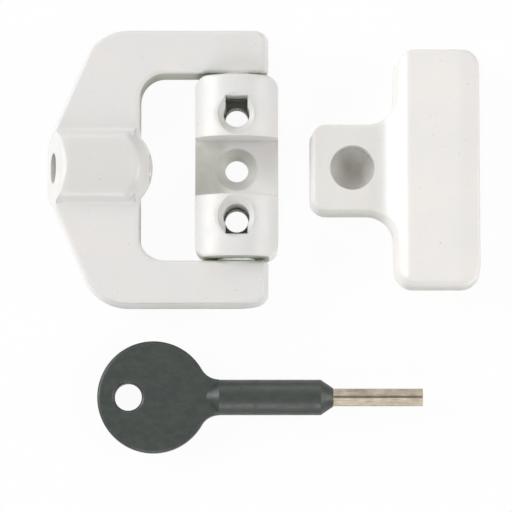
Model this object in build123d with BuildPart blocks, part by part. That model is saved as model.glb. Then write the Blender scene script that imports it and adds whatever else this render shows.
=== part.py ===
from build123d import *
from math import cos, radians, sin, sqrt, tan
import os

os.makedirs("parts", exist_ok=True)

# A key-operated swing lock for a window, laid out flat as it comes out of the box.
# The hinge block is screwed to the frame, a D-shaped arm swings on it about Y, and
# a grub screw in the arm's boss is wound into the dimple of the keep with the key.
# All sizes are in millimetres. The origin is the middle of the block's base, +Z is
# up out of the surface that the pieces lie on, and the arm lies towards -X.

# Hinge block
block_width = 15.7
block_length = 34.5
block_height = 12.4
block_side_height = 8.4
block_corner_radius = 2.6
block_edge_radius = 0.6
recess_length = 10.9
web_thickness = 4.5

# Fixing holes of the block
screw_hole_radius = 2.2
screw_hole_spacing = 19.4
countersink_radius = 4.05
centre_countersink_radius = 3.95
countersink_angle = 90.0
hole_mouth_radius = 2.45
hole_mouth_floor = 3.6
pin_slot_reach = 3.3

# Hinge
hinge_height = 6.3
pin_radius = 2.0
pin_length = 6.2
pin_ear_grip = 1.8
pin_running_clearance = 0.05
washer_radius = 3.5
washer_thickness = 0.4
washer_end_play = 0.05

# Swing arm, measured over its sharp lower edge before that is rounded
arm_reach = 36.1
arm_height = 53.0
arm_thickness = 9.0
arm_draft_angle = 4.0
arm_face_height = 9.3
arm_slant_angle = 23.3
arm_shoulder_radius = 9.4
arm_face_corner_radius = 2.5
arm_edge_radius = 0.8
opening_edge = 18.25
opening_corner_radius = 4.7
ear_radius = 6.0
ear_corner_radius = 2.2

# Boss of the arm
boss_top = 12.4
boss_shoulder_height = 11.5
boss_shoulder_half = 5.8
boss_shoulder_radius = 1.6
boss_foot_half = 6.9
boss_foot_radius = 3.0
boss_seam_radius = 0.8
boss_seam_half = 7.5
boss_seam_rise = 1.0
boss_nose_radius = 8.5
boss_nose_reach = 15.85
boss_nose_blend_radius = 1.5
face_lean_angle = 13.5
face_brow_radius = 3.0
face_brow_end_angle = 15.0
screw_bore_radius = 2.85

# Lock screw
screw_running_clearance = 0.05
screw_length = 10.0
screw_socket_depth = 4.0
screw_groove_depth = 0.6
screw_groove_width = 1.0
screw_groove_place = 4.6
ring_side_clearance = 0.05
ring_split = 0.9

# Keep
keep_shift = 21.85
keep_bar_width = 16.5
keep_bar_length = 45.2
keep_bar_height = 11.0
keep_bar_clearance = 0.05
keep_stub_width = 17.2
keep_stub_length = 15.9
keep_stub_height = 7.6
keep_draft_angle = 3.0
keep_corner_radius = 3.8
keep_stub_corner_radius = 3.0
keep_root_radius = 5.2
keep_ramp_length = 4.2
keep_ramp_top_offset = 2.4
keep_ramp_foot_radius = 6.0
keep_ramp_top_radius = 2.0
keep_back_bevel_width = 4.2
keep_back_bevel_drop = 0.8
keep_back_bevel_radius = 8.0
keep_edge_radius = 0.8
dimple_radius = 4.2
dimple_wall = 4.3
dimple_point_angle = 130.0
keep_fixing_radius = 1.65
keep_fixing_depth = 7.0
keep_fixing_spacing = 30.0

# Key
key_offset = 43.15
key_bow_centre = -15.7
key_bow_radius = 10.55
key_bow_thickness = 3.4
key_bow_edge_radius = 0.7
key_ring_hole_radius = 2.55
key_ring_hole_offset = 4.7
key_shank_radius = 3.35
key_shank_end = 15.85
key_neck_radius = 3.75
key_cone_length = 2.35
key_cone_end_radius = 1.75
key_blade_width = 3.2
key_blade_reach = 16.85
key_blade_root = 10.0
key_blade_groove_width = 0.4
key_blade_groove_depth = 0.55
key_socket_clearance = 0.05

# Values worked out from those above
cut_margin = 2.0
boss_axis = Axis((0, 0, hinge_height), (1, 0, 0))
arm_bottom = hinge_height - ear_radius
arm_top = arm_bottom + arm_thickness
block_end = block_length / 2
opening_half = block_end + washer_thickness + 2 * washer_end_play
screw_hole_place = screw_hole_spacing / 2
slot_end = screw_hole_place + pin_slot_reach
pin_bore_radius = pin_radius + pin_running_clearance
pin_outer_end = opening_half + pin_ear_grip
pin_inner_end = pin_outer_end - pin_length

# Hinge block: a crowned bar with a flat middle, three screw holes and, outward of
# each outer hole, a slot through which the hinge pin is dropped in and pushed out.
with BuildPart() as hinge_block:
    with BuildSketch():
        RectangleRounded(block_width, block_length, block_corner_radius)
    extrude(amount=block_height)
    with BuildSketch(Plane.XZ):
        with BuildLine():
            Polyline(
                (-block_width / 2, block_side_height),
                (-block_width / 2, 0),
                (block_width / 2, 0),
                (block_width / 2, block_side_height),
            )
            ThreePointArc(
                (block_width / 2, block_side_height),
                (0, block_height),
                (-block_width / 2, block_side_height),
            )
        make_face()
    extrude(amount=block_end + cut_margin, both=True, mode=Mode.INTERSECT)
    with Locations((0, 0, web_thickness)):
        Box(
            block_width + 2 * cut_margin,
            recess_length,
            block_height,
            align=(Align.CENTER, Align.CENTER, Align.MIN),
            mode=Mode.SUBTRACT,
        )
    end_faces = hinge_block.faces().filter_by(Axis.Y)
    outer_ends = end_faces.sort_by(Axis.Y)[0].edges() + end_faces.sort_by(Axis.Y)[-1].edges()
    fillet(outer_ends.filter_by(GeomType.CIRCLE), block_edge_radius)
    for side in (-1, 1):
        with Locations((0, side * screw_hole_place, block_height)):
            CounterSinkHole(
                screw_hole_radius,
                countersink_radius,
                counter_sink_angle=countersink_angle,
            )
            with Locations((0, 0, hole_mouth_floor - block_height)):
                Cylinder(
                    hole_mouth_radius,
                    block_height - hole_mouth_floor,
                    align=(Align.CENTER, Align.CENTER, Align.MIN),
                    mode=Mode.SUBTRACT,
                )
                with Locations((0, side * pin_slot_reach / 2, 0)):
                    Box(
                        2 * pin_bore_radius,
                        pin_slot_reach,
                        block_height,
                        align=(Align.CENTER, Align.CENTER, Align.MIN),
                        mode=Mode.SUBTRACT,
                    )
    with Locations((0, 0, web_thickness)):
        CounterSinkHole(
            screw_hole_radius,
            centre_countersink_radius,
            counter_sink_angle=countersink_angle,
        )
    for side in (-1, 1):
        with BuildSketch(Plane.XZ.offset(-side * block_end)):
            with Locations((0, hinge_height)):
                Circle(pin_bore_radius)
        extrude(amount=side * (block_end - slot_end), mode=Mode.SUBTRACT)
hinge_block.part.label = "hinge_block"
export_step(hinge_block.part, "parts/hinge_block.step")

# Boss of the swing arm: a flat-topped ridge with leaning sides that ends in a dome.
nose_centre_x = -boss_nose_reach - boss_nose_radius
with BuildPart() as boss:
    with BuildSketch(Plane.YZ.offset(-arm_reach)) as ridge_profile:
        with BuildLine():
            ThreePointArc(
                (-boss_shoulder_half, boss_shoulder_height),
                (0, boss_top),
                (boss_shoulder_half, boss_shoulder_height),
            )
            Polyline(
                (boss_shoulder_half, boss_shoulder_height),
                (boss_foot_half, arm_top),
                (boss_foot_half, hinge_height),
            )
            ThreePointArc(
                (boss_foot_half, hinge_height),
                (0, hinge_height - boss_foot_half),
                (-boss_foot_half, hinge_height),
            )
            Polyline(
                (-boss_foot_half, hinge_height),
                (-boss_foot_half, arm_top),
                (-boss_shoulder_half, boss_shoulder_height),
            )
        make_face()
        ridge_corners = ridge_profile.vertices().group_by(Axis.Y)
        fillet(ridge_corners[-1], boss_shoulder_radius)
        fillet(ridge_corners[-2], boss_foot_radius)
    extrude(amount=arm_reach - boss_nose_reach)
    with BuildSketch(Plane.XZ):
        with BuildLine():
            Polyline(
                (-boss_nose_reach, hinge_height),
                (-arm_reach, hinge_height),
                (-arm_reach, hinge_height + boss_nose_radius),
                (nose_centre_x, hinge_height + boss_nose_radius),
            )
            RadiusArc(
                (nose_centre_x, hinge_height + boss_nose_radius),
                (-boss_nose_reach, hinge_height),
                boss_nose_radius,
            )
        make_face()
    revolve(axis=boss_axis, mode=Mode.INTERSECT)
    dome = boss.faces().filter_by(GeomType.SPHERE)
    fillet(dome.edges(), boss_nose_blend_radius)

# Swing arm: a drafted D-shaped casting whose two ears straddle the block. Its boss
# runs from the leaning outer face, which rounds over into the boss's top, to a domed
# nose that points at the hinge.
ear_half = arm_height / 2
face_half = arm_face_height / 2
shoulder_x = -arm_reach + (ear_half - face_half) * tan(radians(arm_slant_angle))
ear_top_x = sqrt(ear_radius**2 - (arm_top - hinge_height) ** 2)
ear_blank_x = ear_radius + arm_thickness * tan(radians(arm_draft_angle))
lean = radians(face_lean_angle)
brow_end = radians(face_brow_end_angle)
brow_start_z = boss_top - face_brow_radius * (cos(brow_end) - sin(lean))
brow_start_x = -arm_reach + (brow_start_z - arm_bottom) * tan(lean)
brow_end_x = brow_start_x + face_brow_radius * (cos(lean) - sin(brow_end))
seam_start_x = brow_start_x + arm_edge_radius
seam_end_x = -opening_edge - arm_edge_radius
seam_lean = (boss_foot_half - boss_shoulder_half) / (boss_shoulder_height - arm_top)
with BuildPart() as swing_arm:
    with BuildSketch(Plane.XY.offset(arm_bottom)) as arm_plan:
        with BuildLine():
            Polyline(
                (ear_blank_x, ear_half),
                (shoulder_x, ear_half),
                (-arm_reach, face_half),
                (-arm_reach, -face_half),
                (shoulder_x, -ear_half),
                (ear_blank_x, -ear_half),
                close=True,
            )
        make_face()
        fillet(arm_plan.vertices().group_by(Axis.X)[1], arm_shoulder_radius)
        fillet(arm_plan.vertices().group_by(Axis.X)[0], arm_face_corner_radius)
    extrude(amount=arm_thickness, taper=arm_draft_angle)
    with BuildSketch() as opening_plan:
        with Locations((-opening_edge, 0)):
            Rectangle(
                opening_edge + ear_blank_x + cut_margin,
                2 * opening_half,
                align=(Align.MIN, Align.CENTER),
            )
        fillet(opening_plan.vertices().group_by(Axis.X)[0], opening_corner_radius)
    extrude(amount=arm_top + cut_margin, mode=Mode.SUBTRACT)
    with BuildSketch(Plane.XZ):
        with BuildLine():
            Polyline(
                (ear_top_x, arm_top),
                (-arm_reach, arm_top),
                (-arm_reach, arm_bottom),
                (0, arm_bottom),
            )
            ThreePointArc((0, arm_bottom), (ear_radius, hinge_height), (ear_top_x, arm_top))
        make_face()
    extrude(amount=arm_height, both=True, mode=Mode.INTERSECT)
    ear_rims = swing_arm.faces().sort_by(Axis.X)[-2:].edges().group_by(Axis.Y)
    fillet(ear_rims[0] + ear_rims[-1], ear_corner_radius)
    inner_rims = swing_arm.edges().filter_by(GeomType.CIRCLE)
    inner_rims = inner_rims.filter_by_position(Axis.Y, -opening_half, opening_half)
    fillet(inner_rims.group_by(Axis.X)[-1], arm_edge_radius)
    fillet(swing_arm.faces().sort_by(Axis.Z)[-1].edges(), arm_edge_radius)
    add(boss.part)
    with BuildSketch(Plane.YZ.offset(seam_start_x)) as seam_profile:
        Polygon(
            (boss_foot_half - boss_seam_rise * seam_lean, arm_top + boss_seam_rise),
            (boss_foot_half, arm_top),
            (boss_seam_half, arm_top),
            (boss_seam_half, hinge_height),
            (-boss_seam_half, hinge_height),
            (-boss_seam_half, arm_top),
            (-boss_foot_half, arm_top),
            (-boss_foot_half + boss_seam_rise * seam_lean, arm_top + boss_seam_rise),
            align=None,
        )
        seams = seam_profile.vertices().filter_by_position(Axis.X, -boss_foot_half, boss_foot_half)
        fillet(seams.group_by(Axis.Y)[0], boss_seam_radius)
    extrude(amount=seam_end_x - seam_start_x)
    with Locations((-arm_reach / 2, 0, arm_bottom)):
        Box(
            arm_reach + 2 * cut_margin,
            arm_height,
            boss_foot_half,
            align=(Align.CENTER, Align.CENTER, Align.MAX),
            mode=Mode.SUBTRACT,
        )
    with BuildSketch(Plane.XZ):
        with BuildLine():
            Polyline(
                (brow_end_x, boss_top),
                (brow_end_x, boss_top + cut_margin),
                (-arm_reach - cut_margin, boss_top + cut_margin),
                (-arm_reach - cut_margin, arm_bottom),
                (-arm_reach, arm_bottom),
                (brow_start_x, brow_start_z),
            )
            RadiusArc((brow_start_x, brow_start_z), (brow_end_x, boss_top), face_brow_radius)
        make_face()
    extrude(amount=arm_height, both=True, mode=Mode.SUBTRACT)
    with Locations(Plane.YZ.offset(-arm_reach - cut_margin)):
        with Locations((0, hinge_height)):
            Cylinder(
                screw_bore_radius,
                arm_reach,
                align=(Align.CENTER, Align.CENTER, Align.MIN),
                mode=Mode.SUBTRACT,
            )
    for side in (-1, 1):
        with BuildSketch(Plane.XZ.offset(-side * opening_half)):
            with Locations((0, hinge_height)):
                Circle(pin_radius)
        extrude(amount=-side * pin_ear_grip, mode=Mode.SUBTRACT)
swing_arm.part.label = "swing_arm"
export_step(swing_arm.part, "parts/swing_arm.step")

# Hinge pins: each is pushed outward from its slot, runs in the end of the block and
# is pressed into a blind hole in the ear.
for side, place in ((1, "upper"), (-1, "lower")):
    with BuildPart() as hinge_pin:
        with BuildSketch(Plane.XZ.offset(-side * pin_inner_end)):
            with Locations((0, hinge_height)):
                Circle(pin_radius)
        extrude(amount=-side * pin_length)
    hinge_pin.part.label = f"hinge_pin_{place}"
    export_step(hinge_pin.part, f"parts/hinge_pin_{place}.step")

# Pivot washers: thin rings on the pins that fill the end play between block and ears.
for side, place in ((1, "upper"), (-1, "lower")):
    with BuildPart() as pivot_washer:
        with BuildSketch(Plane.XZ.offset(-side * (block_end + washer_end_play))):
            with Locations((0, hinge_height)):
                Circle(washer_radius)
                Circle(pin_bore_radius, mode=Mode.SUBTRACT)
        extrude(amount=-side * washer_thickness)
    pivot_washer.part.label = f"pivot_washer_{place}"
    export_step(pivot_washer.part, f"parts/pivot_washer_{place}.step")

# Lock screw: a headless screw in the boss. Its domed nose completes the dome of the
# boss, its tail has a hexagon socket, and a groove holds the friction ring. The thread
# is left plain.
screw_radius = screw_bore_radius - screw_running_clearance
screw_nose_x = -boss_nose_reach
screw_tail_x = screw_nose_x - screw_length
screw_dome_x = nose_centre_x + sqrt(boss_nose_radius**2 - screw_radius**2)
groove_front_x = screw_nose_x - screw_groove_place
groove_back_x = groove_front_x - screw_groove_width
groove_radius = screw_radius - screw_groove_depth
socket_width = key_blade_width + 2 * key_socket_clearance
with BuildPart() as lock_screw:
    with BuildSketch(Plane.XZ) as screw_profile:
        with BuildLine():
            Polyline(
                (screw_tail_x, hinge_height),
                (screw_tail_x, hinge_height + screw_radius),
                (groove_back_x, hinge_height + screw_radius),
                (groove_back_x, hinge_height + groove_radius),
                (groove_front_x, hinge_height + groove_radius),
                (groove_front_x, hinge_height + screw_radius),
                (screw_dome_x, hinge_height + screw_radius),
            )
            RadiusArc(
                (screw_dome_x, hinge_height + screw_radius),
                (screw_nose_x, hinge_height),
                boss_nose_radius,
            )
            Line((screw_nose_x, hinge_height), (screw_tail_x, hinge_height))
        make_face()
    revolve(axis=boss_axis)
    with BuildSketch(Plane.YZ.offset(screw_tail_x)):
        with Locations((0, hinge_height)):
            RegularPolygon(socket_width / 2, 6, major_radius=False, rotation=90)
    extrude(amount=screw_socket_depth, mode=Mode.SUBTRACT)
lock_screw.part.label = "lock_screw"
export_step(lock_screw.part, "parts/lock_screw.step")

# Friction ring: a split nylon ring in the screw's groove. It travels along the bore
# with the screw without turning, and keeps the screw where the key leaves it.
ring_width = screw_groove_width - 2 * ring_side_clearance
ring_outer_radius = screw_bore_radius - screw_running_clearance / 2
ring_inner_radius = groove_radius + screw_running_clearance
with BuildPart() as screw_friction_ring:
    with BuildSketch(Plane.YZ.offset(groove_back_x + ring_side_clearance)):
        with Locations((0, hinge_height)):
            Circle(ring_outer_radius)
            Circle(ring_inner_radius, mode=Mode.SUBTRACT)
            Rectangle(
                ring_split,
                screw_bore_radius,
                align=(Align.CENTER, Align.MAX),
                mode=Mode.SUBTRACT,
            )
    extrude(amount=ring_width)
screw_friction_ring.part.label = "screw_friction_ring"
export_step(screw_friction_ring.part, "parts/screw_friction_ring.step")

# Keep: a T-shaped casting. Its stub holds the dimple that takes the screw's nose, and
# a ramp rises from the stub to the bar. It is fixed from behind, by two blind holes.
keep_bar_x = keep_shift + block_width / 2 + keep_bar_clearance
keep_back_x = keep_bar_x + keep_bar_width
keep_stub_x = keep_bar_x - keep_stub_length
ramp_top_x = keep_bar_x + keep_ramp_top_offset
ramp_foot_x = ramp_top_x - keep_ramp_length
bevel_x = keep_back_x - keep_back_bevel_width
bar_half = keep_bar_length / 2
stub_half = keep_stub_width / 2
with BuildPart() as keep:
    with BuildSketch() as keep_plan:
        with BuildLine():
            Polyline(
                (keep_stub_x, -stub_half),
                (keep_bar_x, -stub_half),
                (keep_bar_x, -bar_half),
                (keep_back_x, -bar_half),
                (keep_back_x, bar_half),
                (keep_bar_x, bar_half),
                (keep_bar_x, stub_half),
                (keep_stub_x, stub_half),
                close=True,
            )
        make_face()
        fillet(keep_plan.vertices().group_by(Axis.X)[0], keep_stub_corner_radius)
        roots = keep_plan.vertices().sort_by_distance((keep_bar_x, 0))[:2]
        fillet(roots, keep_root_radius)
        fillet(keep_plan.vertices().group_by(Axis.Y)[0], keep_corner_radius)
        fillet(keep_plan.vertices().group_by(Axis.Y)[-1], keep_corner_radius)
    extrude(amount=keep_bar_height, taper=keep_draft_angle)
    with BuildSketch(Plane.XZ):
        Polygon(
            (keep_stub_x - cut_margin, keep_stub_height),
            (ramp_foot_x, keep_stub_height),
            (ramp_top_x, keep_bar_height),
            (ramp_top_x, keep_bar_height + cut_margin),
            (keep_stub_x - cut_margin, keep_bar_height + cut_margin),
            align=None,
        )
    extrude(amount=keep_bar_length, both=True, mode=Mode.SUBTRACT)
    with BuildSketch(Plane.XZ):
        Polygon(
            (bevel_x, keep_bar_height),
            (keep_back_x, keep_bar_height - keep_back_bevel_drop),
            (keep_back_x, keep_bar_height),
            align=None,
        )
    extrude(amount=keep_bar_length, both=True, mode=Mode.SUBTRACT)
    for crease_x, crease_z, crease_radius in (
        (ramp_foot_x, keep_stub_height, keep_ramp_foot_radius),
        (ramp_top_x, keep_bar_height, keep_ramp_top_radius),
        (bevel_x, keep_bar_height, keep_back_bevel_radius),
    ):
        creases = keep.edges().filter_by(Axis.Y)
        fillet(creases.sort_by_distance((crease_x, 0, crease_z))[0], crease_radius)
    low_edges = keep.edges().filter_by(lambda edge: edge.bounding_box().min.Z < keep_edge_radius)
    fillet(keep.edges() - low_edges, keep_edge_radius)
    dimple_floor = keep_stub_height - dimple_wall
    dimple_point = dimple_radius / tan(radians(dimple_point_angle / 2))
    with BuildSketch(Plane.XZ):
        Polygon(
            (keep_shift, dimple_floor - dimple_point),
            (keep_shift + dimple_radius, dimple_floor),
            (keep_shift + dimple_radius, keep_stub_height + cut_margin),
            (keep_shift, keep_stub_height + cut_margin),
            align=None,
        )
    revolve(axis=Axis((keep_shift, 0, 0), (0, 0, 1)), mode=Mode.SUBTRACT)
    with Locations((keep_bar_x + keep_bar_width / 2, 0, 0)):
        with GridLocations(0, keep_fixing_spacing, 1, 2):
            Cylinder(
                keep_fixing_radius,
                keep_fixing_depth,
                align=(Align.CENTER, Align.CENTER, Align.MIN),
                mode=Mode.SUBTRACT,
            )
keep.part.label = "keep"
export_step(keep.part, "parts/keep.step")

# Key bow: one moulding of a flat round bow, a round shank and a blunt cone.
shank_start_x = key_bow_centre + sqrt(key_bow_radius**2 - key_shank_radius**2)
cone_end_x = key_shank_end + key_cone_length
blade_end_x = cone_end_x + key_blade_reach
blade_start_x = cone_end_x - key_blade_root
neck_span = sqrt(
    (key_bow_radius + key_neck_radius) ** 2 - (key_shank_radius + key_neck_radius) ** 2
)
neck_end_x = key_bow_centre + neck_span
key_axis = Axis((0, -key_offset, key_shank_radius), (1, 0, 0))
bow_floor = key_shank_radius - key_bow_thickness / 2
with BuildPart() as key_bow:
    with BuildSketch(Plane.XY.offset(bow_floor)) as bow_plan:
        with Locations((key_bow_centre, -key_offset)):
            Circle(key_bow_radius)
        with BuildLine():
            neck_touch = key_bow_radius / (key_bow_radius + key_neck_radius)
            touch_x = key_bow_centre + neck_span * neck_touch
            touch_y = (key_shank_radius + key_neck_radius) * neck_touch
            RadiusArc(
                (touch_x, touch_y - key_offset),
                (neck_end_x, key_shank_radius - key_offset),
                -key_neck_radius,
            )
            Line(
                (neck_end_x, key_shank_radius - key_offset),
                (neck_end_x, -key_shank_radius - key_offset),
            )
            RadiusArc(
                (neck_end_x, -key_shank_radius - key_offset),
                (touch_x, -touch_y - key_offset),
                -key_neck_radius,
            )
            Line(
                (touch_x, -touch_y - key_offset),
                (touch_x, touch_y - key_offset),
            )
        make_face()
        with Locations((key_bow_centre - key_ring_hole_offset, -key_offset)):
            Circle(key_ring_hole_radius, mode=Mode.SUBTRACT)
    extrude(amount=key_bow_thickness)
    fillet(key_bow.edges().filter_by(GeomType.CIRCLE), key_bow_edge_radius)
    with BuildSketch(Plane.XY.offset(key_shank_radius)):
        with BuildLine():
            Polyline(
                (shank_start_x, -key_offset),
                (shank_start_x, key_bow_thickness / 2 - key_offset),
                (neck_end_x, key_shank_radius - key_offset),
                (key_shank_end, key_shank_radius - key_offset),
                (cone_end_x, key_cone_end_radius - key_offset),
                (cone_end_x, -key_offset),
                close=True,
            )
        make_face()
    revolve(axis=key_axis)
    with BuildSketch(Plane.YZ.offset(blade_start_x)) as blade_socket:
        with Locations((-key_offset, key_shank_radius)):
            RegularPolygon(key_blade_width / 2, 6, major_radius=False, rotation=90)
    extrude(amount=key_blade_root, mode=Mode.SUBTRACT)
key_bow.part.label = "key_bow"
export_step(key_bow.part, "parts/key_bow.step")

# Key blade: a hexagonal steel bar, grooved along its upper corner, moulded into the
# shank of the bow.
blade_corner_z = key_shank_radius + key_blade_width / sqrt(3)
with BuildPart() as key_blade:
    with BuildSketch(Plane.YZ.offset(blade_start_x)):
        with Locations((-key_offset, key_shank_radius)):
            RegularPolygon(key_blade_width / 2, 6, major_radius=False, rotation=90)
    extrude(amount=key_blade_root + key_blade_reach)
    with BuildSketch(Plane.YZ.offset(cone_end_x)):
        with Locations((-key_offset, blade_corner_z)):
            Rectangle(
                key_blade_groove_width,
                2 * key_blade_groove_depth,
            )
    extrude(amount=key_blade_reach, mode=Mode.SUBTRACT)
key_blade.part.label = "key_blade"
export_step(key_blade.part, "parts/key_blade.step")
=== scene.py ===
"""Looks of a key-operated window lock, laid out flat on a pale studio floor.

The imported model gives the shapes. This script gives each of them its finish, cuts the
thread and the socket of the lock screw, and sets up the floor, the lamps and the camera.
Lengths are millimetres unless they say metres, and a finished mesh is in metres.
"""

import logging
from collections.abc import Sequence
from dataclasses import dataclass, replace
from enum import Enum
from math import cos, pi, radians, sin, sqrt, tau

import bmesh
import bpy
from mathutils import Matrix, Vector

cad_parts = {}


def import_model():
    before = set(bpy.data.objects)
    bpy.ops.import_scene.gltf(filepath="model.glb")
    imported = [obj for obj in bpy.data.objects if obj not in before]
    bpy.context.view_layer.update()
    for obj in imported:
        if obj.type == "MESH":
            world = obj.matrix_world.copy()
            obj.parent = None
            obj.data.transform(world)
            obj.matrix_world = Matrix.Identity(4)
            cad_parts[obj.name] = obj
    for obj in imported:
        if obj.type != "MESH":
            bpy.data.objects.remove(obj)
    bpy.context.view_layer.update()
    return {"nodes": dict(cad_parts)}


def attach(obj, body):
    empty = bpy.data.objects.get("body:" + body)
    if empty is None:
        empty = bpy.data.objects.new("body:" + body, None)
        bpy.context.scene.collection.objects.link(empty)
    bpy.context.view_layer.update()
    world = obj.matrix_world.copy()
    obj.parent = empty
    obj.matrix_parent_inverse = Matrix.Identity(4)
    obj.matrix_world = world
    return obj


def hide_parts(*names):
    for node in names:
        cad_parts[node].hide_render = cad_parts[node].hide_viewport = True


LOG = logging.getLogger("window_lock")

MM = 0.001
MERGE_DISTANCE = 1e-4
FLAT_AREA = 1e-6
SHARP_ANGLE = radians(32.0)
BELOW_ALL = -1.0
ABOVE_ALL = 20.0
WHITE = (1.0, 1.0, 1.0, 1.0)

# A Mix node has its own sockets for each kind of data, and these are the ones for colours.
MIX_FACTOR = 0
MIX_FIRST = 6
MIX_SECOND = 7
MIX_RESULT = 2

Colour = tuple[float, float, float]
Place = tuple[float, float, float]
Span = tuple[float, float]
Socket = bpy.types.NodeSocket


class Along(Enum):
    """The axis that a bore, a tool mark or a brushing mark runs along."""

    X = "X"
    Y = "Y"
    Z = "Z"

    @property
    def across(self) -> tuple[str, str]:
        """Names of the two other axes."""
        return tuple(axis.value for axis in Along if axis is not self)


@dataclass(frozen=True)
class Grain:
    """A noise pattern.

    Attributes:
        size: Size of its patches.
        detail: Octaves.
        roughness: Weight of the finer octaves.
        band: Values between which it fades from one look to the other.
    """

    size: float
    detail: float = 2.0
    roughness: float = 0.5
    band: Span = (0.3, 0.7)


class Recipe:
    """The node tree of a material or a world while it is put together."""

    def __init__(self, holder: bpy.types.Material | bpy.types.World) -> None:
        """Starts with an empty tree.

        Args:
            holder: The new material or world.
        """
        self.holder = holder
        holder.use_nodes = True
        self.tree = holder.node_tree
        self.tree.nodes.clear()

    def add(self, kind: str, inputs: dict | None = None, **settings: object) -> bpy.types.Node:
        """Adds a node.

        Args:
            kind: Node type, without its ShaderNode prefix.
            inputs: Values or sockets by the input's name or index.
            **settings: Attributes of the node.

        Returns:
            The node.
        """
        node = self.tree.nodes.new("ShaderNode" + kind)
        for key, value in settings.items():
            setattr(node, key, value)
        for key, value in (inputs or {}).items():
            if isinstance(value, Socket):
                self.tree.links.new(value, node.inputs[key])
            else:
                node.inputs[key].default_value = value
        return node

    def math(self, operation: str, *values: float | Socket) -> Socket:
        """Adds a Math node.

        Args:
            operation: The node's operation.
            *values: Its one to three inputs.

        Returns:
            The result.
        """
        return self.add("Math", dict(enumerate(values)), operation=operation).outputs[0]

    def ramp(
        self, value: Socket, low: float, high: float, start: float = 0.0, end: float = 1.0
    ) -> Socket:
        """Turns a value smoothly into a range.

        Args:
            value: What is mapped.
            low: Value that gives start.
            high: Value that gives end.
            start: Result at and before low.
            end: Result at and after high.

        Returns:
            The mapped value.
        """
        node = self.add(
            "MapRange",
            {"Value": value, "From Min": low, "From Max": high, "To Min": start, "To Max": end},
            interpolation_type="SMOOTHSTEP",
        )
        return node.outputs["Result"]

    def within(self, value: Socket, limit: float, feather: float) -> Socket:
        """Tells where a value stays under a limit.

        Args:
            value: What is tested.
            limit: The limit.
            feather: How far before and after the limit the result fades.

        Returns:
            1 under the limit and 0 over it.
        """
        return self.ramp(value, limit - feather, limit + feather, 1.0, 0.0)

    def blend(
        self, factor: Socket | float, first: Socket | Colour, second: Socket | Colour
    ) -> Socket:
        """Mixes two colours.

        Args:
            factor: Share of the second colour.
            first: First colour.
            second: Second colour.

        Returns:
            The mixed colour.
        """
        first, second = (c if isinstance(c, Socket) else (*c, 1.0) for c in (first, second))
        inputs = {MIX_FACTOR: factor, MIX_FIRST: first, MIX_SECOND: second}
        return self.add("Mix", inputs, data_type="RGBA").outputs[MIX_RESULT]

    def place(self) -> Socket:
        """Object coordinates in millimetres."""
        source = self.add("TexCoord").outputs["Object"]
        return self.add("VectorMath", {0: source, "Scale": 1 / MM}, operation="SCALE").outputs[0]

    def about(self, place: Socket, centre: Place, stretch: Place = (1.0, 1.0, 1.0)) -> Socket:
        """Moves a pattern's origin to a point of the piece.

        Args:
            place: Coordinates in millimetres.
            centre: New origin.
            stretch: Scale along each axis.

        Returns:
            The new coordinates.
        """
        shift = tuple(-c * s for c, s in zip(centre, stretch))
        node = self.add("Mapping", {"Vector": place, "Location": shift, "Scale": stretch})
        return node.outputs[0]

    def noise(self, place: Socket, grain: Grain) -> Socket:
        """Adds a noise pattern.

        Args:
            place: Coordinates in millimetres.
            grain: The pattern.

        Returns:
            A value around 0.5.
        """
        inputs = {
            "Vector": place,
            "Scale": 1 / grain.size,
            "Detail": grain.detail,
            "Roughness": grain.roughness,
        }
        return self.add("TexNoise", inputs).outputs[0]

    def cloud(self, place: Socket, grain: Grain, start: float = 0.0, end: float = 1.0) -> Socket:
        """Adds a noise pattern that fades between two values.

        Args:
            place: Coordinates in millimetres.
            grain: The pattern.
            start: Result below the pattern's band.
            end: Result above it.

        Returns:
            A value from start to end.
        """
        return self.ramp(self.noise(place, grain), *grain.band, start, end)

    def rounded(self, radius: float, samples: int = 4) -> Socket:
        """Normals that make sharp edges look rounded.

        Args:
            radius: Radius of the edges.
            samples: Rays that look for an edge.

        Returns:
            The normal.
        """
        return self.add("Bevel", {"Radius": radius * MM}, samples=samples).outputs[0]

    def bump(self, height: Socket, depth: float, normal: Socket) -> Socket:
        """Adds relief to a normal.

        Args:
            height: Height from 0 to 1.
            depth: Depth of the relief.
            normal: Normal that it is added to.

        Returns:
            The new normal.
        """
        inputs = {"Height": height, "Distance": depth * MM, "Strength": 1.0, "Normal": normal}
        return self.add("Bump", inputs).outputs[0]

    def finish(self, inputs: dict) -> bpy.types.Material:
        """Adds the surface shader and the output.

        Args:
            inputs: Inputs of the surface shader by name.

        Returns:
            The finished material.
        """
        shader = self.add("BsdfPrincipled", inputs)
        self.add("OutputMaterial", {"Surface": shader.outputs[0]})
        return self.holder


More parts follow.
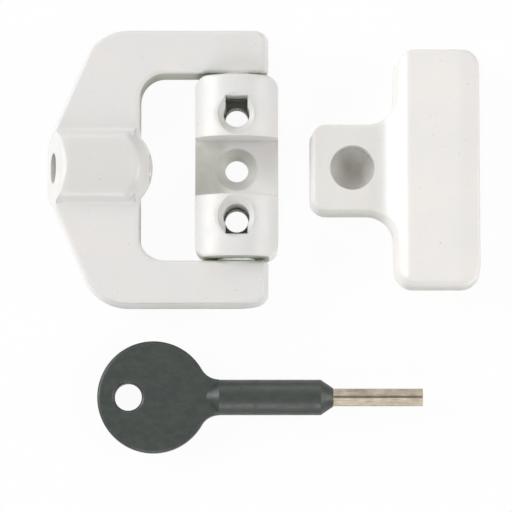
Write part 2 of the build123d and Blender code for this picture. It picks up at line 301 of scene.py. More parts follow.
@dataclass(frozen=True)
class BoreSpot:
    """A round place that is greyed towards zinc: painted shade, and in holes also uncoated zinc.

    Attributes:
        centre: A point on the hole's axis.
        radius: Radius of the hole.
        along: Direction of the hole.
        feather: Width over which the grey fades.
        share: How strongly it greys the coat.
        mouth: Place along the hole from which it is white again.
    """

    centre: Place
    radius: float
    along: Along = Along.Z
    feather: float = 0.12
    share: float = 0.8
    mouth: float | None = None

    def distance(self, recipe: Recipe, place: Socket) -> Socket:
        """Measures how far the surface is from the hole's axis.

        Args:
            recipe: The finish that needs it.
            place: Coordinates in millimetres.

        Returns:
            The distance in millimetres.
        """
        split = recipe.add("SeparateXYZ", {0: recipe.about(place, self.centre)})
        first, second = (split.outputs[axis] for axis in self.along.across)
        square = recipe.math("MULTIPLY", second, second)
        return recipe.math("SQRT", recipe.math("MULTIPLY_ADD", first, first, square))

    def mask(self, recipe: Recipe, place: Socket) -> Socket:
        """Tells where the hole is.

        Args:
            recipe: The finish that needs it.
            place: Coordinates in millimetres.

        Returns:
            1 inside the hole and 0 outside.
        """
        inside = recipe.within(self.distance(recipe, place), self.radius, self.feather)
        if self.mouth is None:
            return inside
        reach = recipe.add("SeparateXYZ", {0: place}).outputs[self.along.value]
        return recipe.math("MULTIPLY", inside, recipe.within(reach, self.mouth, self.feather))


@dataclass(frozen=True)
class BoxSpot:
    """A box-shaped place that is greyed towards zinc: painted shade, and in the slots also
    uncoated zinc.

    Attributes:
        low: Lowest corner.
        high: Highest corner.
        feather: Width over which the grey fades.
        share: How strongly it greys the coat.
    """

    low: Place
    high: Place
    feather: float = 0.15
    share: float = 0.8

    def mask(self, recipe: Recipe, place: Socket) -> Socket:
        """Tells where the recess is.

        Args:
            recipe: The finish that needs it.
            place: Coordinates in millimetres.

        Returns:
            1 inside the recess and 0 outside.
        """
        centre = tuple((a + b) / 2 for a, b in zip(self.low, self.high))
        split = recipe.add("SeparateXYZ", {0: recipe.about(place, centre)})
        inside, *others = (
            recipe.within(
                recipe.math("ABSOLUTE", split.outputs[axis]), (high - low) / 2, self.feather
            )
            for low, high, axis in zip(self.low, self.high, "XYZ")
        )
        for side in others:
            inside = recipe.math("MULTIPLY", inside, side)
        return inside


@dataclass(frozen=True)
class ToolMarks:
    """Turned rings left on a countersink.

    Attributes:
        spot: The hole that they surround.
        reach: Radius at which they end.
        share: How much zinc shows on their ridges.
        pitch: Distance between two rings.
        wobble: Unevenness of the rings.
        wobble_turn: How far it shifts a ring, in radians.
        fade: Where they fade, from the radius at which they end.
    """

    spot: BoreSpot
    reach: float
    share: float
    pitch: float = 0.4
    wobble: Grain = Grain(0.9, 3.0)
    wobble_turn: float = 0.5
    fade: Span = (-0.05, 0.1)

    def height(self, recipe: Recipe, place: Socket) -> Socket:
        """Shapes the rings.

        Args:
            recipe: The finish that needs them.
            place: Coordinates in millimetres.

        Returns:
            Height of the rings from 0 to 1, and 0 past their end.
        """
        distance = self.spot.distance(recipe, place)
        wobble = recipe.math("MULTIPLY", recipe.noise(place, self.wobble), self.wobble_turn)
        turn = recipe.math("MULTIPLY_ADD", distance, tau / self.pitch, wobble)
        wave = recipe.math("ADD", recipe.math("SINE", turn), 1.0)
        # The wave runs from 0 to 2, so half of it is the height.
        start, end = (self.reach + edge for edge in self.fade)
        return recipe.math("MULTIPLY", wave, recipe.ramp(distance, start, end, 0.5, 0.0))


@dataclass(frozen=True)
class PowderCoat:
    """White powder coat on a zinc casting.

    Attributes:
        warm: Its warmer patches.
        cool: Its cooler patches.
        patches: How the two change over.
        speck: Grit under the coat.
        speck_sets: Cells of grit per millimetre, and radius of the largest in cells.
        speck_free: Share of the cells that have no grit.
        speck_edge: Width over which a speck fades, in cells.
        grit: How dark the specks are.
        zinc_and_shade_grey: Grey of uncoated zinc where little powder reaches, used also as
            painted shade in recesses, gaps, shaded patches and at the walls' foot.
        grey_cloud: Unevenness of that grey.
        grey_least: Its lowest share.
        thin_roughness: What the greyed spots add to the roughness.
        gloss: How the roughness changes.
        roughness: Lowest and highest roughness.
        refraction: Index of refraction.
        peel: Its orange peel.
        peel_depth: Depth of its orange peel.
        wave: The casting's own unevenness.
        wave_depth: Depth of that unevenness.
        edge_radius: Radius that the coat gives a sharp edge.
        edge_samples: Rays that look for an edge.
        ring_depth: Depth of tool marks.
        shade_foot_side: Direction that walls with painted shade at their foot face.
        shade_foot_facing: How much a wall has to face that way.
        shade_foot_height: Height at which that painted shade ends.
        shade_foot_share: How strong the painted shade is at their lowest edge.
    """

    warm: Colour = (0.81, 0.79, 0.77)
    cool: Colour = (0.785, 0.785, 0.78)
    patches: Grain = Grain(9.0, 3.0, band=(0.35, 0.65))
    speck: Colour = (0.45, 0.42, 0.38)
    speck_sets: tuple[Span, ...] = ((0.55, 0.14), (1.3, 0.19))
    speck_free: float = 0.55
    speck_edge: float = 0.08
    grit: float = 0.38
    zinc_and_shade_grey: Colour = (0.34, 0.36, 0.29)
    grey_cloud: Grain = Grain(1.4, 3.0)
    grey_least: float = 0.88
    thin_roughness: float = 0.2
    gloss: Grain = Grain(2.2, 4.0)
    roughness: Span = (0.3, 0.42)
    refraction: float = 1.52
    peel: Grain = Grain(0.45)
    peel_depth: float = 0.006
    wave: Grain = Grain(4.0, 1.0)
    wave_depth: float = 0.03
    edge_radius: float = 0.3
    edge_samples: int = 6
    ring_depth: float = 0.03
    shade_foot_side: Place = (0.6, -0.8, 0.0)
    shade_foot_facing: Span = (0.1, 0.7)
    shade_foot_height: float = 10.0
    shade_foot_share: float = 0.62

    def specks(self, recipe: Recipe, place: Socket, colour: Socket) -> Socket:
        """Strews grit under the coat.

        Args:
            recipe: The finish.
            place: Coordinates in millimetres.
            colour: Colour of the coat.

        Returns:
            The colour with the grit.
        """
        for density, largest in self.speck_sets:
            inputs = {"Vector": place, "Scale": density, "Randomness": 1.0}
            cells = recipe.add("TexVoronoi", inputs)
            chance = recipe.add("SeparateColor", {0: cells.outputs["Color"]}).outputs[0]
            size = recipe.ramp(chance, self.speck_free, 1.0, 0.0, largest)
            inside = recipe.math("SUBTRACT", size, cells.outputs["Distance"])
            share = recipe.ramp(inside, 0.0, self.speck_edge, 0.0, self.grit)
            colour = recipe.blend(share, colour, self.speck)
        return colour

    def foot(self, recipe: Recipe, place: Socket) -> Socket:
        """Paints shade towards the lowest edge of the walls that face front and right.

        Args:
            recipe: The finish.
            place: Coordinates in millimetres.

        Returns:
            Share of the painted shade.
        """
        normal = recipe.add("TexCoord").outputs["Normal"]
        facing = recipe.add("VectorMath", {0: normal, 1: self.shade_foot_side}, operation="DOT_PRODUCT")
        side = recipe.ramp(facing.outputs["Value"], *self.shade_foot_facing)
        height = recipe.add("SeparateXYZ", {0: place}).outputs["Z"]
        foot = recipe.ramp(height, 0.0, self.shade_foot_height, self.shade_foot_share, 0.0)
        return recipe.math("MULTIPLY", side, foot)

    def greying(
        self, recipe: Recipe, place: Socket, spots: Sequence[BoreSpot | BoxSpot]
    ) -> Socket:
        """Greys the coat at the spots, as painted shade and, in holes and slots, as uncoated
        zinc.

        Args:
            recipe: The finish.
            place: Coordinates in millimetres.
            spots: The places that it greys.

        Returns:
            Share of the grey.
        """
        greyest, *others = (
            recipe.math("MULTIPLY", spot.mask(recipe, place), spot.share) for spot in spots
        )
        for share in others:
            greyest = recipe.math("MAXIMUM", greyest, share)
        return recipe.math(
            "MULTIPLY", greyest, recipe.cloud(place, self.grey_cloud, self.grey_least)
        )

    def material(
        self,
        name: str,
        spots: Sequence[BoreSpot | BoxSpot],
        marks: Sequence[ToolMarks] = (),
    ) -> bpy.types.Material:
        """Makes the finish for one casting.

        Args:
            name: Name of the material.
            spots: Where the coat is greyed.
            marks: Countersinks with tool marks.

        Returns:
            The material.
        """
        recipe = Recipe(bpy.data.materials.new(name))
        place = recipe.place()
        colour = recipe.blend(recipe.cloud(place, self.patches), self.warm, self.cool)
        colour = self.specks(recipe, place, colour)
        # Painted shade: walls that face front and right turn grey towards their foot.
        colour = recipe.blend(self.foot(recipe, place), colour, self.zinc_and_shade_grey)
        # The spots grey the coat: painted shade in recesses, gaps and shaded patches, and
        # uncoated zinc in holes and slots.
        grey_share = self.greying(recipe, place, spots)
        colour = recipe.blend(grey_share, colour, self.zinc_and_shade_grey)
        roughness = recipe.cloud(place, self.gloss, *self.roughness)
        roughness = recipe.math("MULTIPLY_ADD", grey_share, self.thin_roughness, roughness)
        normal = recipe.rounded(self.edge_radius, self.edge_samples)
        normal = recipe.bump(recipe.noise(place, self.wave), self.wave_depth, normal)
        normal = recipe.bump(recipe.noise(place, self.peel), self.peel_depth, normal)
        for mark in marks:
            height = mark.height(recipe, place)
            colour = recipe.blend(recipe.math("MULTIPLY", height, mark.share), colour, self.zinc_and_shade_grey)
            normal = recipe.bump(height, self.ring_depth, normal)
        return recipe.finish(
            {
                "Base Color": colour,
                "Roughness": roughness,
                "Normal": normal,
                "IOR": self.refraction,
            }
        )


@dataclass(frozen=True)
class Steel:
    """Bare steel with the marks of the tool or die that made it.

    Attributes:
        bright: Colour of the ridges.
        dull: Colour of the marks and patches.
        along: Direction of the marks.
        centre: A point on the piece's axis.
        roughness: Lowest and highest roughness.
        marks: The marks across their direction.
        mark_stretch: Scale of the marks along their direction.
        mark_share: Weight of the marks beside the patches.
        mark_depth: Depth of the marks.
        patches: Patches of duller steel.
        tone_band: Tones between which the colour changes.
        gloss_band: Tones between which the roughness changes.
        edge_radius: Radius of its sharp edges.
    """

    bright: Colour
    dull: Colour
    along: Along
    centre: Place
    roughness: Span = (0.22, 0.38)
    marks: Grain = Grain(0.08, 3.0, 0.6)
    mark_stretch: float = 0.02
    mark_share: float = 0.6
    mark_depth: float = 0.004
    patches: Grain = Grain(1.8, 4.0)
    tone_band: Span = (0.32, 0.68)
    gloss_band: Span = (0.3, 0.7)
    edge_radius: float = 0.08

    def material(self, name: str) -> bpy.types.Material:
        """Makes the finish.

        Args:
            name: Name of the material.

        Returns:
            The material.
        """
        recipe = Recipe(bpy.data.materials.new(name))
        place = recipe.place()
        stretch = tuple(self.mark_stretch if axis is self.along else 1.0 for axis in Along)
        lines = recipe.noise(recipe.about(place, self.centre, stretch), self.marks)
        patches = recipe.math("MULTIPLY", recipe.noise(place, self.patches), 1 - self.mark_share)
        tone = recipe.math("MULTIPLY_ADD", lines, self.mark_share, patches)
        colour = recipe.blend(recipe.ramp(tone, *self.tone_band), self.dull, self.bright)
        shiny, matt = self.roughness
        normal = recipe.bump(lines, self.mark_depth, recipe.rounded(self.edge_radius))
        return recipe.finish(
            {
                "Base Color": colour,
                "Metallic": 1.0,
                "Roughness": recipe.ramp(tone, *self.gloss_band, matt, shiny),
                "Normal": normal,
            }
        )


@dataclass(frozen=True)
class MouldedPlastic:
    """Plastic as it comes from the mould.

    Attributes:
        body: Main colour.
        streak: Colour of its flow marks and patches.
        bloom: Colour of fine scuffs.
        flow: Its flow marks.
        flow_stretch: Scale of the flow marks along each axis.
        scuffs: Its scuffs.
        scuff_share: How much of their colour the scuffs take.
        grain: The mould's grain.
        grain_depth: Depth of the mould's grain.
        gloss: How the roughness changes.
        roughness: Lowest and highest roughness.
        refraction: Index of refraction.
        edge_radius: Radius of its sharp edges.
        scatter: Share of light that goes under the surface.
        scatter_depth: How far it goes.
    """

    body: Colour
    streak: Colour
    bloom: Colour
    flow: Grain = Grain(1.5, 6.0, 0.65, (0.38, 0.64))
    flow_stretch: Place = (0.7, 1.0, 1.0)
    scuffs: Grain = Grain(0.5, 6.0, 0.7, (0.6, 0.78))
    scuff_share: float = 0.5
    grain: Grain = Grain(0.22, 3.0, 0.6)
    grain_depth: float = 0.008
    gloss: Grain = Grain(1.2, 4.0)
    roughness: Span = (0.36, 0.5)
    refraction: float = 1.49
    edge_radius: float = 0.15
    scatter: float = 0.0
    scatter_depth: float = 0.6

    def material(self, name: str) -> bpy.types.Material:
        """Makes the finish.

        Args:
            name: Name of the material.

        Returns:
            The material.
        """
        recipe = Recipe(bpy.data.materials.new(name))
        place = recipe.place()
        flow = recipe.about(place, (0.0, 0.0, 0.0), self.flow_stretch)
        colour = recipe.blend(recipe.cloud(flow, self.flow), self.body, self.streak)
        scuffs = recipe.cloud(place, self.scuffs, end=self.scuff_share)
        colour = recipe.blend(scuffs, colour, self.bloom)
        grain = recipe.noise(place, self.grain)
        inputs = {
            "Base Color": colour,
            "Roughness": recipe.cloud(place, self.gloss, *self.roughness),
            "Normal": recipe.bump(grain, self.grain_depth, recipe.rounded(self.edge_radius)),
            "IOR": self.refraction,
        }
        if self.scatter:
            inputs["Subsurface Weight"] = self.scatter
            inputs["Subsurface Scale"] = self.scatter_depth * MM
        return recipe.finish(inputs)


def dress(nodes: dict[str, bpy.types.Object], material: bpy.types.Material, *names: str) -> None:
    """Gives CAD nodes a finish and reports them.

    Args:
        nodes: CAD nodes by name.
        material: The finish.
        *names: Nodes that get it.
    """
    for name in names:
        for holder in nodes[name].material_slots:
            holder.material = material
        LOG.info("%s: finished with %s", name, material.name)


def finished_piece(
    name: str, mesh: bmesh.types.BMesh, material: bpy.types.Material
) -> bpy.types.Object:
    """Turns a worked mesh into a piece of the scene and reports it.

    Args:
        name: Name of the piece.
        mesh: Its mesh in metres, which is freed.
        material: Its finish.

    Returns:
        The piece.
    """
    data = bpy.data.meshes.new(name)
    mesh.to_mesh(data)
    mesh.free()
    data.materials.append(material)
    data.polygons.foreach_set("use_smooth", [True] * len(data.polygons))
    data.set_sharp_from_angle(angle=SHARP_ANGLE)
    piece = bpy.data.objects.new(name, data)
    bpy.context.scene.collection.objects.link(piece)
    LOG.info("%s: %d faces, finished with %s", name, len(data.polygons), material.name)
    return piece


def both_sides(near: float, far: float) -> tuple[Span, Span]:
    """A span along Y and its mirror image."""
    return (near, far), (-far, -near)


@dataclass
class HingeBlock:
    """The block that is screwed down, with its crowned ends, flat web and holes.

    Attributes:
        holes: The three screw holes, from the lower up.
        patches: Painted shade in their countersinks, of which the outer two lie left, on their
            shaded side.
        ring_shares: How much zinc shows on the tool marks in each countersink.
        countersink_radius: Radius at which the tool marks end.
        slot_span: From an outer hole's centre to just past its pin slot's end.
        slot_half: Half of the slots' width, and a little more.
        web: The left part of the flat middle and of its two walls, greyed as painted shade.
        end_span: From just before an end face to just past it.
        end_feather: Width over which the painted shade fades at the end faces.
        side: A place past the block's sides.
        shade_foot_share: How strong the painted shade is at the foot of the walls.
    """

    holes: tuple[BoreSpot, ...] = (
        BoreSpot((0.0, -9.7, 0.0), 2.45),
        BoreSpot((0.0, 0.0, 0.0), 2.2),
        BoreSpot((0.0, 9.7, 0.0), 2.45),
    )
    patches: tuple[BoreSpot, ...] = (
        BoreSpot((-1.1, -9.7, 0.0), 3.05, feather=0.6, share=0.24),
        BoreSpot((0.0, 0.0, 0.0), 3.95, feather=0.2, share=0.28),
        BoreSpot((-1.1, 9.7, 0.0), 3.05, feather=0.6, share=0.24),
    )
    ring_shares: tuple[float, ...] = (0.1, 0.36, 0.1)
    countersink_radius: float = 4.05
    slot_span: Span = (9.7, 13.1)
    slot_half: float = 2.15
    web: BoxSpot = BoxSpot((-15.7, -5.15, 1.5), (-2.2, 5.15, 6.5), feather=1.2, share=0.5)
    end_span: Span = (17.1, 17.4)
    end_feather: float = 0.06
    side: float = 15.7
    shade_foot_share: float = 0.05

    def slots(self) -> list[BoxSpot]:
        """The slots through which the hinge pins go in, greyed as painted shade and uncoated
        zinc.
        """
        half = self.slot_half
        return [
            BoxSpot((-half, low, BELOW_ALL), (half, high, ABOVE_ALL))
            for low, high in both_sides(*self.slot_span)
        ]

    def end_faces(self) -> list[BoxSpot]:
        """The end faces, which nearly touch the arm's ears and are greyed fully as painted shade.
        """
        side = self.side
        return [
            BoxSpot((-side, low, BELOW_ALL), (side, high, ABOVE_ALL), self.end_feather, 1.0)
            for low, high in both_sides(*self.end_span)
        ]

    def build(self, nodes: dict[str, bpy.types.Object], coat: PowderCoat) -> None:
        """Finishes the block.

        Args:
            nodes: CAD nodes by name.
            coat: The castings' finish.
        """
        # Painted shade greys the countersinks' shaded sides, the web and the end faces; the holes
        # and slots get painted shade and uncoated zinc.
        spots = [*self.holes, *self.patches, *self.slots(), *self.end_faces(), self.web]
        marks = [
            ToolMarks(hole, self.countersink_radius, share)
            for hole, share in zip(self.holes, self.ring_shares)
        ]
        # The block keeps only a little painted shade at the foot of its walls.
        evener = replace(coat, shade_foot_share=self.shade_foot_share)
        dress(nodes, evener.material("block_powder_coat", spots, marks), "hinge_block")


@dataclass
class SwingArm:
    """The D-shaped arm with its ears, boss, pins and washers.

    Attributes:
        bore: The boss's bore, on the height of the hinge, greyed as painted shade and uncoated
            zinc.
        boss_top_shade: The boss's top, greyed as painted shade.
        wall_left: Just past the end of the opening under the boss.
        wall_right: Where its walls are hidden by the block.
        wall_span: From the boss's side to just past the opening's end wall.
        wall_top: Height at which the painted shade on the walls ends.
        wall_feather: Width over which it fades.
        edge_radius: Radius that the coat gives the arm's sharp edges.
        pin_bright: Colour of the pins' ridges.
        pin_dull: Colour of the pins' marks.
        nylon: Finish of the washers and of the screw's friction ring.
    """

    bore: BoreSpot = BoreSpot((0.0, 0.0, 6.3), 2.85, Along.X, share=1.0, mouth=-17.3)
    boss_top_shade: BoxSpot = BoxSpot((-32.0, -5.2, 10.5), (-19.0, 5.2, 13.5), feather=1.2, share=0.14)
    wall_left: float = -18.45
    wall_right: float = 8.0
    wall_span: Span = (7.0, 17.95)
    wall_top: float = 8.5
    wall_feather: float = 0.5
    edge_radius: float = 0.6
    pin_bright: Colour = (0.52, 0.51, 0.49)
    pin_dull: Colour = (0.33, 0.33, 0.32)
    nylon: MouldedPlastic = MouldedPlastic(
        (0.90, 0.89, 0.87), (0.84, 0.84, 0.82), (0.93, 0.92, 0.90), scatter=0.25
    )

    def inner_walls(self) -> list[BoxSpot]:
        """The walls round the arm's opening, above and below its boss, darkened fully as painted
        shade.
        """
        left, right, top = self.wall_left, self.wall_right, self.wall_top
        return [
            BoxSpot((left, low, BELOW_ALL), (right, high, top), self.wall_feather, 1.0)
            for low, high in both_sides(*self.wall_span)
        ]

    def build(self, nodes: dict[str, bpy.types.Object], coat: PowderCoat) -> None:
        """Finishes the arm and what it carries.

        Args:
            nodes: CAD nodes by name.
            coat: The castings' finish.
        """
        # Painted shade darkens the boss's top and the opening's walls; the bore gets painted
        # shade and uncoated zinc.
        spots = [self.bore, self.boss_top_shade, *self.inner_walls()]
        softer = replace(coat, edge_radius=self.edge_radius)
        dress(nodes, softer.material("arm_powder_coat", spots), "swing_arm")
        pins = Steel(self.pin_bright, self.pin_dull, Along.Y, self.bore.centre)
        dress(nodes, pins.material("turned_pin_steel"), "hinge_pin_upper", "hinge_pin_lower")
        material = self.nylon.material("white_nylon_moulded")
        dress(nodes, material, "pivot_washer_upper", "pivot_washer_lower", "screw_friction_ring")


@dataclass
class LockScrew:
    """The headless screw in the boss: thread, friction groove, nose and socket.

    Attributes:
        nose_x: Where the nose ends.
        length: Length of the screw.
        axis_height: Height of its axis.
        radius: Outer radius of the thread.
        thread_depth: Depth of the thread.
        thread_sink: How far the thread's foot is sunk into the core.
        pitch: Pitch of the thread.
        crest_half: Half of the width of the thread's crest.
        root_half: Half of the width of the thread's foot.
        dome_radius: Radius of the domed nose.
        lead_length: Length of the plain nose.
        lead_radius: Radius of the plain nose.
        tail_bevel: Bevel at the tail.
        groove_front: Distance from the nose to the friction groove.
        groove_width: Width of the friction groove.
        groove_depth: Depth of the friction groove.
        socket_width: Width of the hexagon socket across its flats.
        socket_depth: Depth of the hexagon socket.
        drill_point: How far the drill's point went past the socket.
        dome_steps: Steps of the dome's outline.
        segments: Steps round the axis.
        bright: Colour of the ridges.
        dull: Colour of the marks.
        roughness: Lowest and highest roughness.
    """

    nose_x: float = -15.85
    length: float = 10.0
    axis_height: float = 6.3
    radius: float = 2.8
    thread_depth: float = 0.45
    thread_sink: float = 0.05
    pitch: float = 1.0
    crest_half: float = 0.09
    root_half: float = 0.42
    dome_radius: float = 8.5
    lead_length: float = 1.4
    lead_radius: float = 2.55
    tail_bevel: float = 0.5
    groove_front: float = 4.6
    groove_width: float = 1.0
    groove_depth: float = 0.6
    socket_width: float = 3.3
    socket_depth: float = 4.0
    drill_point: float = 0.7
    dome_steps: int = 6
    segments: int = 48
    bright: Colour = (0.74, 0.72, 0.71)
    dull: Colour = (0.5, 0.49, 0.48)
    roughness: Span = (0.25, 0.45)

    @property
    def tail_x(self) -> float:
        """Where the screw ends."""
        return self.nose_x - self.length

    @property
    def dome_centre(self) -> float:
        """Where the dome's centre lies on the axis."""
        return self.nose_x - self.dome_radius

    @property
    def root(self) -> float:
        """Radius at the bottom of the thread."""
        return self.radius - self.thread_depth

    @property
    def tail_rim(self) -> float:
        """Radius at the end of the tail's bevel."""
        return self.radius - self.tail_bevel

    @property
    def groove(self) -> Span:
        """Back and front of the friction groove."""
        back = self.nose_x - self.groove_front - self.groove_width
        return back, back + self.groove_width

    @property
    def axis(self) -> Place:
        """The point of the axis over the origin."""
        return 0.0, 0.0, self.axis_height

    def blank_radius(self, x: float) -> float:
        """Radius of the unthreaded blank at a place along the axis.

        Args:
            x: Place along the axis.

        Returns:
            The radius there.
        """
        nose = self.lead_radius + max(0.0, self.nose_x - self.lead_length - x)
        tail = self.tail_rim + (x - self.tail_x)
        back, front = self.groove
        groove = self.radius - self.groove_depth if back < x < front else self.radius
        return min(self.radius, nose, tail, groove)

    def outline(self) -> list[tuple[float, float]]:
        """Points of the core's outline, from its socket rim to the middle of its nose."""
        back, front = self.groove
        groove = self.radius - self.groove_depth
        lead_x = self.nose_x - self.lead_length
        radii = (
            self.lead_radius * step / self.dome_steps for step in range(self.dome_steps, -1, -1)
        )
        dome = [(self.dome_centre + sqrt(self.dome_radius**2 - r**2), r) for r in radii]
        return [
            (self.tail_x, self.tail_rim),
            (self.tail_x + self.root - self.tail_rim, self.root),
            (back, self.root),
            (back, groove),
            (front, groove),
            (front, self.root),
            (lead_x - self.lead_radius + self.root, self.root),
            (lead_x, self.lead_radius),
            *dome,
        ]

    def core(self, mesh: bmesh.types.BMesh) -> None:
        """Turns the core, and sinks the hexagon socket into its tail.

        Args:
            mesh: Mesh that it is added to.
        """
        points = [mesh.verts.new((x, 0.0, self.axis_height + r)) for x, r in self.outline()]
        edges = [mesh.edges.new(pair) for pair in zip(points, points[1:])]
        bmesh.ops.spin(
            mesh,
            geom=points + edges,
            cent=self.axis,
            axis=(1.0, 0.0, 0.0),
            angle=tau,
            steps=self.segments,
            use_merge=True,
        )
        bmesh.ops.remove_doubles(mesh, verts=mesh.verts, dist=MERGE_DISTANCE)
        rim = [edge for edge in mesh.edges if edge.is_boundary]
        socket = set(bmesh.ops.create_circle(mesh, segments=self.segments, radius=1.0)["verts"])
        mouth = [edge for edge in mesh.edges if socket.issuperset(edge.verts)]
        for vert in socket:
            # Each point of the circle moves to the side of the hexagon that it faces.
            turn = (vert.co.xy.angle_signed(Vector((1.0, 0.0))) + tau) % (pi / 3)
            reach = self.socket_width / 2 / cos(turn - pi / 6)
            across, up = vert.co.x * reach, vert.co.y * reach
            vert.co = Vector((self.tail_x, across, self.axis_height + up))
        bmesh.ops.bridge_loops(mesh, edges=rim + mouth)
        sunk = bmesh.ops.extrude_edge_only(mesh, edges=mouth)["geom"]
        floor = [part for part in sunk if isinstance(part, bmesh.types.BMVert)]
        bmesh.ops.translate(mesh, verts=floor, vec=(self.socket_depth, 0.0, 0.0))
        ring = [part for part in sunk if isinstance(part, bmesh.types.BMEdge)]
        cap = bmesh.ops.contextual_create(mesh, geom=ring)["faces"]
        point = bmesh.ops.poke(mesh, faces=cap)["verts"]
        bmesh.ops.translate(mesh, verts=point, vec=(self.drill_point, 0.0, 0.0))

    def thread(self, mesh: bmesh.types.BMesh) -> None:
        """Winds the thread round the core and trims it to the blank.

        Args:
            mesh: Mesh that it is added to.
        """
        foot = self.root - self.thread_sink
        start = self.tail_x - self.pitch / 2
        section = [
            mesh.verts.new((start + x, 0.0, self.axis_height + r))
            for x, r in (
                (-self.root_half, foot),
                (-self.crest_half, self.radius),
                (self.crest_half, self.radius),
                (self.root_half, foot),
            )
        ]
        # It starts half a pitch behind the tail, so it makes half a turn more.
        turns = (self.length - self.lead_length) / self.pitch + 0.5
        steps = int(turns * self.segments)
        before = set(mesh.verts)
        face = mesh.faces.new(section)
        bmesh.ops.spin(
            mesh,
            geom=[*section, *face.edges, face],
            cent=self.axis,
            axis=(1.0, 0.0, 0.0),
            dvec=(self.pitch * turns / steps, 0.0, 0.0),
            angle=tau * turns,
            steps=steps,
        )
        for vert in (set(mesh.verts) - before) | set(section):
            vert.co.x = max(vert.co.x, self.tail_x)
            away = Vector((0.0, vert.co.y, vert.co.z - self.axis_height))
            limit = self.blank_radius(vert.co.x)
            if away.length > limit:
                away *= limit / away.length
                vert.co.y, vert.co.z = away.y, away.z + self.axis_height
        # Trimming leaves faces without area on the tail, where the thread starts behind it.
        flat = [face for face in mesh.faces if face.calc_area() < FLAT_AREA]
        bmesh.ops.delete(mesh, geom=flat, context="FACES")

    def build(self) -> None:
        """Makes the screw and puts it in the place of the plain one."""
        mesh = bmesh.new()
        self.core(mesh)
        self.thread(mesh)
        bmesh.ops.recalc_face_normals(mesh, faces=mesh.faces)
        bmesh.ops.scale(mesh, vec=(MM, MM, MM), verts=mesh.verts)
        steel = Steel(self.bright, self.dull, Along.X, self.axis, self.roughness)
        screw = finished_piece("lock_screw_threaded", mesh, steel.material("turned_screw_steel"))
        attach(screw, "lock_screw")
        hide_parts("lock_screw")


@dataclass
class Keep:
    """The T-shaped keep with its ramp and dimple.

    Attributes:
        dimple: The dimple that takes the screw's nose.
        bottom: Painted shade at its bottom, a little off its centre towards the lower right.
        stub: The stub up to the ramp's foot, greyed a little as painted shade.
        ring_share: How much zinc shows on the dimple's tool marks.
        ring_pitch: Distance between two of them.
        warm: The coat's warmer patches.
        cool: The coat's cooler patches.
    """

    dimple: BoreSpot = BoreSpot((21.85, 0.0, 0.0), 4.2, feather=0.15, share=0.05)
    bottom: BoreSpot = BoreSpot((22.75, -0.6, 0.0), 2.6, feather=1.2, share=0.27)
    stub: BoxSpot = BoxSpot((0.0, -12.0, BELOW_ALL), (27.95, 12.0, 8.2), feather=0.8, share=0.16)
    ring_share: float = 0.12
    ring_pitch: float = 0.3
    warm: Colour = (0.91, 0.875, 0.85)
    cool: Colour = (0.875, 0.86, 0.845)

    def build(self, nodes: dict[str, bpy.types.Object], coat: PowderCoat) -> None:
        """Finishes the keep.

        Args:
            nodes: CAD nodes by name.
            coat: The castings' finish.
        """
        # Painted shade greys the dimple's bottom and the stub.
        spots = [self.dimple, self.bottom, self.stub]
        marks = [ToolMarks(self.dimple, self.dimple.radius, self.ring_share, self.ring_pitch)]
        whiter = replace(coat, warm=self.warm, cool=self.cool)
        dress(nodes, whiter.material("keep_powder_coat", spots, marks), "keep")


@dataclass
class Key:
    """The key: dark plastic bow and shank on a hexagonal steel blade.

    Attributes:
        axis_y: Where the blade's axis lies.
        axis_height: Height of the blade's axis.
        plastic: Finish of the bow and shank.
        bright: Colour of the blade's ridges.
        dull: Colour of the blade's marks.
        roughness: Lowest and highest roughness of the blade.
    """

    axis_y: float = -43.15
    axis_height: float = 3.35
    plastic: MouldedPlastic = MouldedPlastic(
        (0.024, 0.033, 0.03), (0.039, 0.046, 0.038), (0.085, 0.1, 0.09)
    )
    bright: Colour = (0.28, 0.248, 0.198)
    dull: Colour = (0.18, 0.158, 0.126)
    roughness: Span = (0.34, 0.5)

    def build(self, nodes: dict[str, bpy.types.Object]) -> None:
        """Finishes the key.

        Args:
            nodes: CAD nodes by name.
        """
        dress(nodes, self.plastic.material("dark_grey_moulded"), "key_bow")
        axis = (0.0, self.axis_y, self.axis_height)
        steel = Steel(self.bright, self.dull, Along.X, axis, self.roughness)
        dress(nodes, steel.material("drawn_blade_steel"), "key_blade")


@dataclass(frozen=True)
class Softbox:
    """A lamp that hangs round the set.

    Attributes:
        azimuth: Its direction round the set, in degrees.
        elevation: Its height over the floor, in degrees.
        power: Its power in watts.
        tint: Colour of its light.
    """

    azimuth: float
    elevation: float
    power: float
    tint: Colour

    def towards(self) -> Vector:
        """Direction from the set to the lamp."""
        turn, rise = radians(self.azimuth), radians(self.elevation)
        return Vector((cos(rise) * cos(turn), cos(rise) * sin(turn), sin(rise)))


class Lamp(Enum):
    """The studio's softboxes."""

    KEY_LEFT = Softbox(162.0, 28.0, 11.2, (1.0, 1.0, 0.995))
    FILL_RIGHT = Softbox(-5.0, 30.0, 7.8, (1.0, 0.98, 0.96))
    FRONT = Softbox(-95.0, 28.0, 5.4, (1.0, 0.995, 0.985))
    BACK = Softbox(88.0, 30.0, 3.0, (1.0, 0.995, 0.99))


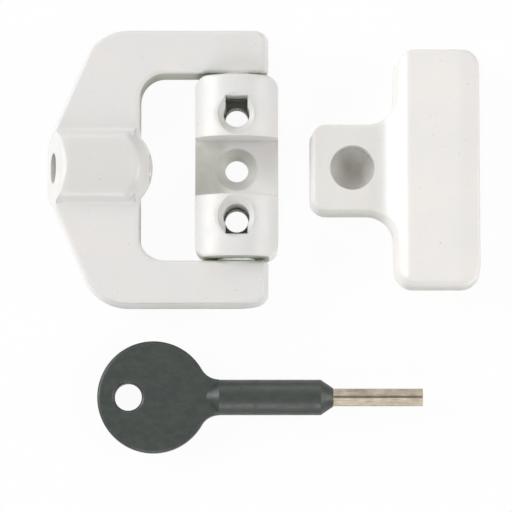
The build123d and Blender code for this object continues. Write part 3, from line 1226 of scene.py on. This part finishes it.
@dataclass
class Studio:
    """The pale floor, the soft light and the camera.

    Attributes:
        target: What the camera and the lamps look at.
        camera_elevation: Height of the camera over the floor, in degrees.
        camera_distance: Distance from the target to the camera.
        view_width: Width of the view at the target.
        sensor: Width of the camera's sensor.
        camera_range: Nearest and furthest place that the camera sees, in metres.
        floor_size: Size of the floor in metres.
        floor_drop: How far the floor lies under the set.
        floor_colour: Colour of the floor.
        floor_glow: How much of the floor is plain white to the camera.
        lamp_distance: Distance from the target to the lamps, in metres.
        lamp_size: Size of the lamps in metres.
        fill_level: Strength of the even light from all round.
    """

    target: Place = (3.65, -16.0, 0.0)
    camera_elevation: float = 84.1
    camera_distance: float = 600.0
    view_width: float = 97.5
    sensor: float = 36.0
    camera_range: Span = (0.01, 10.0)
    floor_size: float = 4.0
    floor_drop: float = 0.02
    floor_colour: Colour = (0.93, 0.93, 0.92)
    floor_glow: float = 0.95
    lamp_distance: float = 1.2
    lamp_size: float = 0.7
    fill_level: float = 0.12

    def background_share(self, recipe: Recipe) -> Socket:
        """Tells which rays see the background directly, in a mirror or through glass.

        Args:
            recipe: The finish of the background.

        Returns:
            1 for those rays and 0 for the others.
        """
        path = recipe.add("LightPath")
        share = path.outputs["Is Camera Ray"]
        for name in ("Is Glossy Ray", "Is Transmission Ray"):
            share = recipe.math("MAXIMUM", share, path.outputs[name])
        return share

    def floor(self) -> None:
        """Lays the floor, which is nearly white to the camera and keeps a soft shadow."""
        recipe = Recipe(bpy.data.materials.new("pale_floor"))
        matt = recipe.add("BsdfDiffuse", {"Color": (*self.floor_colour, 1.0)})
        glow = recipe.add("Emission", {"Color": WHITE, "Strength": 1.0})
        share = recipe.math("MULTIPLY", self.background_share(recipe), self.floor_glow)
        mix = recipe.add("MixShader", {0: share, 1: matt.outputs[0], 2: glow.outputs[0]})
        recipe.add("OutputMaterial", {"Surface": mix.outputs[0]})
        mesh = bmesh.new()
        bmesh.ops.create_grid(mesh, x_segments=1, y_segments=1, size=self.floor_size / 2)
        bmesh.ops.translate(mesh, verts=mesh.verts, vec=(0.0, 0.0, -self.floor_drop * MM))
        finished_piece("studio_floor", mesh, recipe.holder)

    def world(self) -> None:
        """Surrounds the set with even light, which is white to the camera."""
        recipe = Recipe(bpy.data.worlds.new("studio_world"))
        bpy.context.scene.world = recipe.holder
        light = recipe.add("Background", {"Color": WHITE, "Strength": self.fill_level})
        white = recipe.add("Background", {"Color": WHITE, "Strength": 1.0})
        share = self.background_share(recipe)
        mix = recipe.add("MixShader", {0: share, 1: light.outputs[0], 2: white.outputs[0]})
        recipe.add("OutputWorld", {"Surface": mix.outputs[0]})

    def hang(
        self, data: bpy.types.Light | bpy.types.Camera, towards: Vector, distance: float
    ) -> bpy.types.Object:
        """Hangs a lamp or the camera so that it looks at the target.

        Args:
            data: The lamp or camera.
            towards: Direction from the target to it.
            distance: Distance from the target in metres.

        Returns:
            Its holder.
        """
        holder = bpy.data.objects.new(data.name, data)
        holder.location = Vector(self.target) * MM + towards * distance
        holder.rotation_euler = towards.to_track_quat("Z", "Y").to_euler()
        bpy.context.scene.collection.objects.link(holder)
        return holder

    def lamps(self) -> None:
        """Hangs the softboxes round the set and reports them."""
        for lamp in Lamp:
            softbox = lamp.value
            data = bpy.data.lights.new(lamp.name.lower(), "AREA")
            data.shape = "SQUARE"
            data.size = self.lamp_size
            data.energy = softbox.power
            data.color = softbox.tint
            self.hang(data, softbox.towards(), self.lamp_distance)
            LOG.info("%s: %.1f W", data.name, softbox.power)

    def camera(self) -> None:
        """Puts the camera nearly straight above, a little towards the key."""
        data = bpy.data.cameras.new("studio_camera")
        data.sensor_width = self.sensor
        data.lens = self.sensor * self.camera_distance / self.view_width
        data.clip_start, data.clip_end = self.camera_range
        rise = radians(self.camera_elevation)
        towards = Vector((0.0, -cos(rise), sin(rise)))
        bpy.context.scene.camera = self.hang(data, towards, self.camera_distance * MM)

    def build(self) -> None:
        """Sets up the whole studio."""
        self.floor()
        self.world()
        self.lamps()
        self.camera()
        bpy.context.scene.view_settings.view_transform = "Standard"


def main() -> None:
    """Builds the sub-assemblies and the studio in order."""
    logging.basicConfig(level=logging.INFO, format="%(name)s: %(message)s")
    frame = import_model()
    nodes = frame["nodes"]
    coat = PowderCoat()
    HingeBlock().build(nodes, coat)
    SwingArm().build(nodes, coat)
    LockScrew().build()
    Keep().build(nodes, coat)
    Key().build(nodes)
    Studio().build()


if __name__ == "__main__":
    main()
